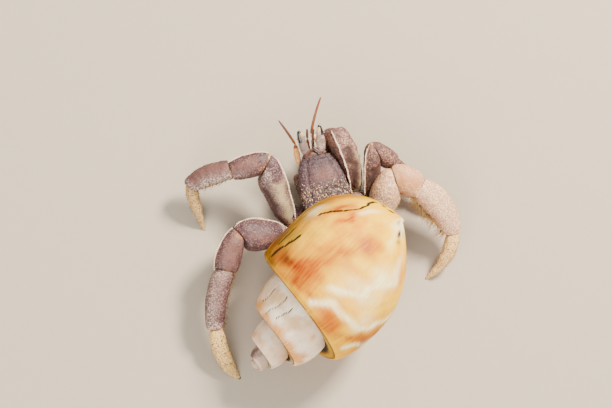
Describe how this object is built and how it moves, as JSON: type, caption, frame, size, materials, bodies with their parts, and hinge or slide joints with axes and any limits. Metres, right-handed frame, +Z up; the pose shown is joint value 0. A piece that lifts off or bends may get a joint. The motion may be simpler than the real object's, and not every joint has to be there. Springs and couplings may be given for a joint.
{
  "type": "hermit crab",
  "caption": "Life-size model of a land hermit crab walking in a channelled whelk shell, legs spread and eyestalks raised.",
  "frame": {"origin": "on the floor, under the middle of the bounding box", "axes": "+Z up; the crab faces -Y and its own left is +X"},
  "size_m": [0.0613, 0.0548, 0.0282],
  "materials": {
    "whelk_shell": "worn satin, cream with orange flames",
    "carapace": "granular purple plate, half dusted with sand",
    "leg_plate": "granular pale lavender plate with bristles",
    "claw_plate": "brown to purple plate with a beaded white edge",
    "soft_body": "matt skin",
    "eyestalk": "smooth pale grey",
    "cornea": "glossy black",
    "feeler": "orange to peach, ringed"
  },
  "bodies": {
    "root": {"shell": "whelk_shell", "shield": "carapace", "thorax": "soft_body", "abdomen": "soft_body", "maxilliped_left": "claw_plate", "leg_4_left": "leg_plate", "maxilliped_right": "claw_plate", "leg_4_right": "leg_plate", "eyestalk_left": "eyestalk", "eye_left": "cornea", "antenna_base_left": "feeler", "antenna_left": "feeler", "antennule_base_left": "feeler", "antennule_left": "feeler", "eyestalk_right": "eyestalk", "eye_right": "cornea", "antenna_base_right": "feeler", "antenna_right": "feeler", "antennule_base_right": "feeler", "antennule_right": "feeler", "leg_2_left_coxa": "leg_plate", "leg_2_left_merus": "leg_plate", "leg_2_left_carpus": "leg_plate", "leg_2_left_propodus": "leg_plate", "leg_2_left_dactyl": "leg_plate", "leg_3_left_coxa": "leg_plate", "leg_3_left_merus": "leg_plate", "leg_3_left_carpus": "leg_plate", "leg_3_left_propodus": "leg_plate", "leg_3_left_dactyl": "leg_plate", "leg_3_right_coxa": "leg_plate", "leg_3_right_merus": "leg_plate", "leg_3_right_carpus": "leg_plate", "leg_3_right_propodus": "leg_plate", "leg_3_right_dactyl": "leg_plate", "leg_2_right_coxa": "leg_plate", "leg_2_right_merus": "leg_plate", "leg_2_right_carpus": "leg_plate", "leg_2_right_propodus": "leg_plate", "leg_2_right_dactyl": "leg_plate", "claw_right_ischium": "claw_plate", "claw_right_merus": "claw_plate", "claw_right_carpus": "claw_plate", "claw_right_palm": "claw_plate", "claw_right_finger": "claw_plate", "claw_left_ischium": "claw_plate", "claw_left_merus": "claw_plate", "claw_left_carpus": "claw_plate", "claw_left_palm": "claw_plate", "claw_left_finger": "claw_plate"}
  },
  "joints": []
}
